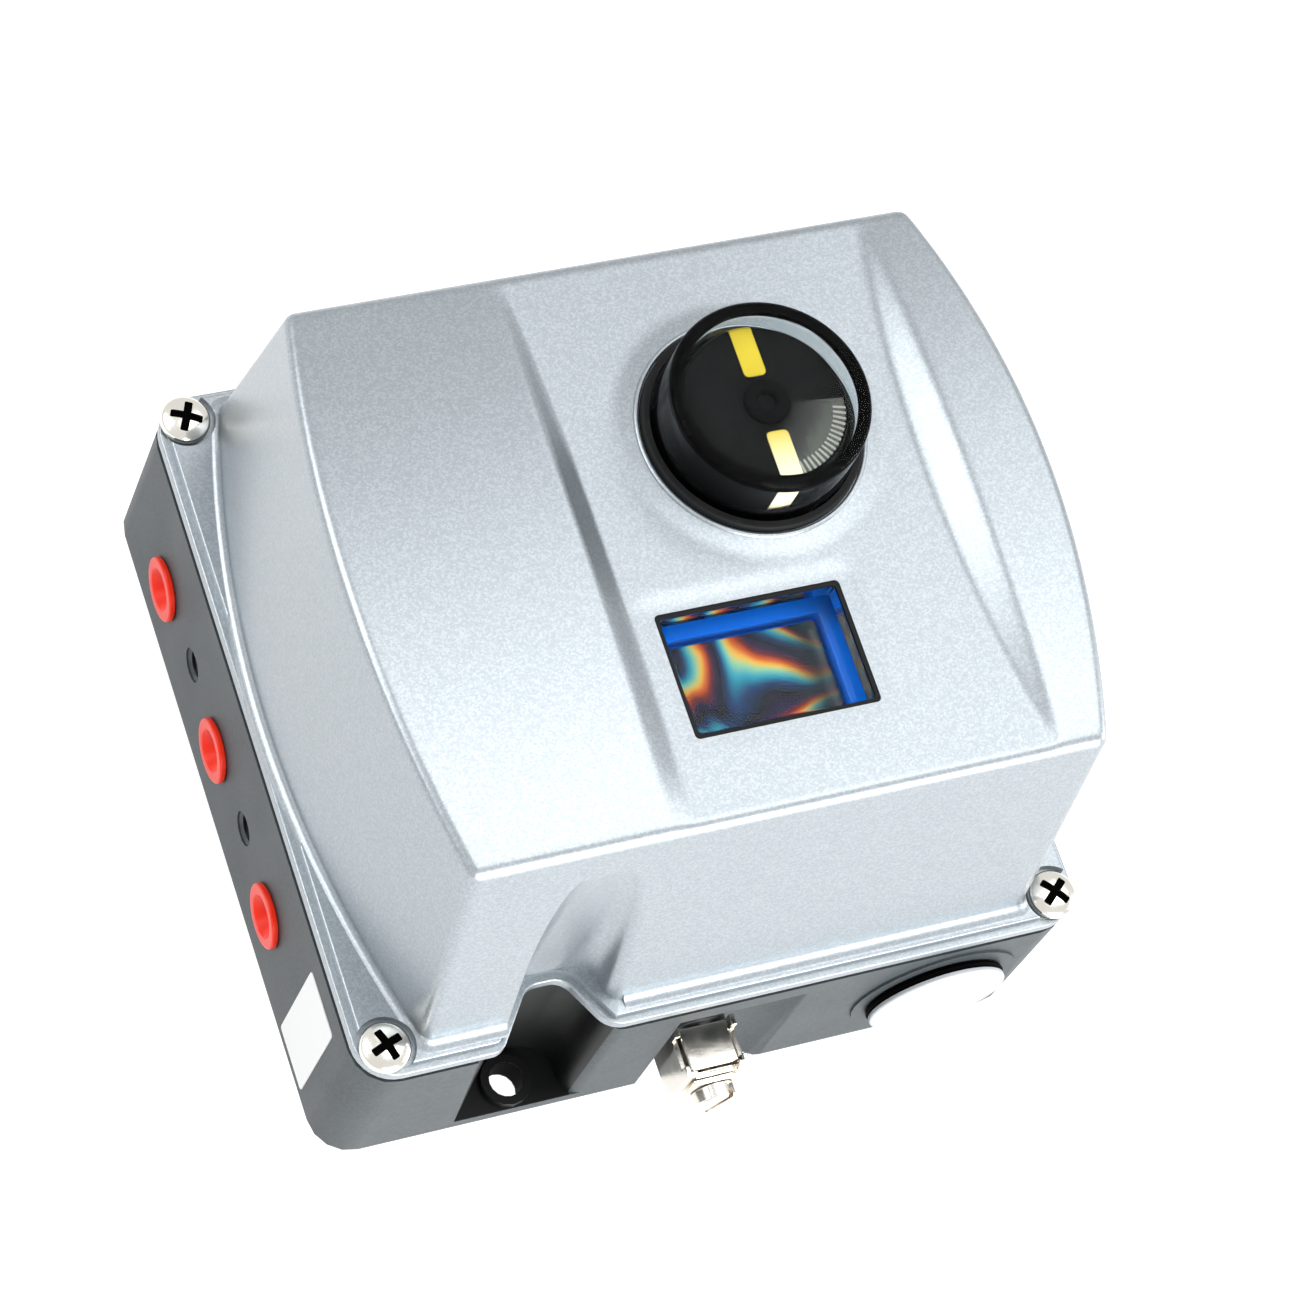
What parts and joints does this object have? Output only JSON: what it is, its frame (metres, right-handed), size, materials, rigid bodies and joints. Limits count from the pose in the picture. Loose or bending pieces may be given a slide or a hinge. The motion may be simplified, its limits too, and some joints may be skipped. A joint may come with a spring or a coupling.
{
  "type": "valve positioner",
  "caption": "Electro-pneumatic valve positioner: cast housing, lift-off cover with position dome and display window, turning feedback shaft, spool valve and sprung keys.",
  "frame": {"origin": "middle of the flat mounting face at the housing's back", "axes": "+Z from the mounting face to the cover, -X out of the face with the air ports, -Y out of the face with the cable entry and the earth terminal"},
  "size_m": [0.1413, 0.1455, 0.1256],
  "materials": {
    "aluminium": "machined",
    "black_plastic": "black",
    "blue_plastic": "blue",
    "board": "green board",
    "bronze": "sintered bronze",
    "clear_plastic": "clear",
    "display": "liquid crystal cell",
    "grey_paint": "dark grey paint, satin",
    "nickel": "nickel plated",
    "red_plastic": "red",
    "rubber": "matt black",
    "silver_paint": "silver grey paint, satin",
    "steel": "bright stainless",
    "white_plastic": "white",
    "yellow_plastic": "yellow"
  },
  "bodies": {
    "housing": {"housing": "grey_paint", "cover_gasket": "rubber", "port_plug_s": "red_plastic", "port_plug_c1": "red_plastic", "port_plug_c2": "red_plastic", "cable_plug": "white_plastic", "cable_plug_seal": "rubber", "earth_bracket": "nickel", "earth_clamp": "nickel", "earth_washer": "nickel", "earth_screw": "nickel", "shaft_seal": "rubber", "shaft_bush_lower": "bronze", "shaft_bush_upper": "bronze", "position_sensor": "black_plastic", "valve_body": "aluminium", "valve_gasket": "rubber", "valve_cap_front": "black_plastic", "valve_cap_back": "black_plastic", "spool_spring": "steel", "valve_screw_1": "steel", "valve_screw_2": "steel", "valve_screw_3": "steel", "prestage_body": "black_plastic", "prestage_coil": "bronze", "prestage_nozzle": "steel", "mainboard": "board", "shield_cover": "black_plastic", "shield_screw_1": "steel", "shield_screw_2": "steel", "terminal_block": "blue_plastic", "interface_panel": "blue_plastic", "interface_screw_1": "steel", "interface_screw_2": "steel", "display": "display"},
    "cover": {"cover": "silver_paint", "cover_screw_1": "nickel", "cover_screw_2": "nickel", "cover_screw_3": "nickel", "cover_screw_4": "nickel", "dome": "clear_plastic", "dome_seal": "rubber", "dome_retainer": "steel", "window_pane": "clear_plastic", "window_seal": "rubber"},
    "shaft": {"feedback_shaft": "steel", "sensor_magnet": "steel", "pointer_drum": "black_plastic", "pointer_stripe_back": "yellow_plastic", "pointer_stripe_front": "yellow_plastic", "pointer_screw": "black_plastic"},
    "spool": {"spool": "steel"},
    "button_1": {"button_1": "black_plastic"},
    "button_2": {"button_2": "black_plastic"},
    "button_3": {"button_3": "black_plastic"},
    "button_4": {"button_4": "black_plastic"}
  },
  "joints": [
    {"name": "cover_lift", "type": "slide", "parent": "housing", "child": "cover", "axis": [0, 0, 1], "range_m": [0, 0.09]},
    {"name": "shaft_turn", "type": "hinge", "parent": "housing", "child": "shaft", "pos_m": [0.015, 0.016, 0], "axis": [0, 0, 1], "continuous": true},
    {"name": "spool_slide", "type": "slide", "parent": "housing", "child": "spool", "axis": [0, 1, 0], "range_m": [-0.0012, 0.0012], "stiffness_N_per_m": 200},
    {"name": "button_1_press", "type": "slide", "parent": "housing", "child": "button_1", "axis": [0, 0, 1], "range_m": [-0.0008, 0], "stiffness_N_per_m": 1500},
    {"name": "button_2_press", "type": "slide", "parent": "housing", "child": "button_2", "axis": [0, 0, 1], "range_m": [-0.0008, 0], "stiffness_N_per_m": 1500},
    {"name": "button_3_press", "type": "slide", "parent": "housing", "child": "button_3", "axis": [0, 0, 1], "range_m": [-0.0008, 0], "stiffness_N_per_m": 1500},
    {"name": "button_4_press", "type": "slide", "parent": "housing", "child": "button_4", "axis": [0, 0, 1], "range_m": [-0.0008, 0], "stiffness_N_per_m": 1500}
  ]
}
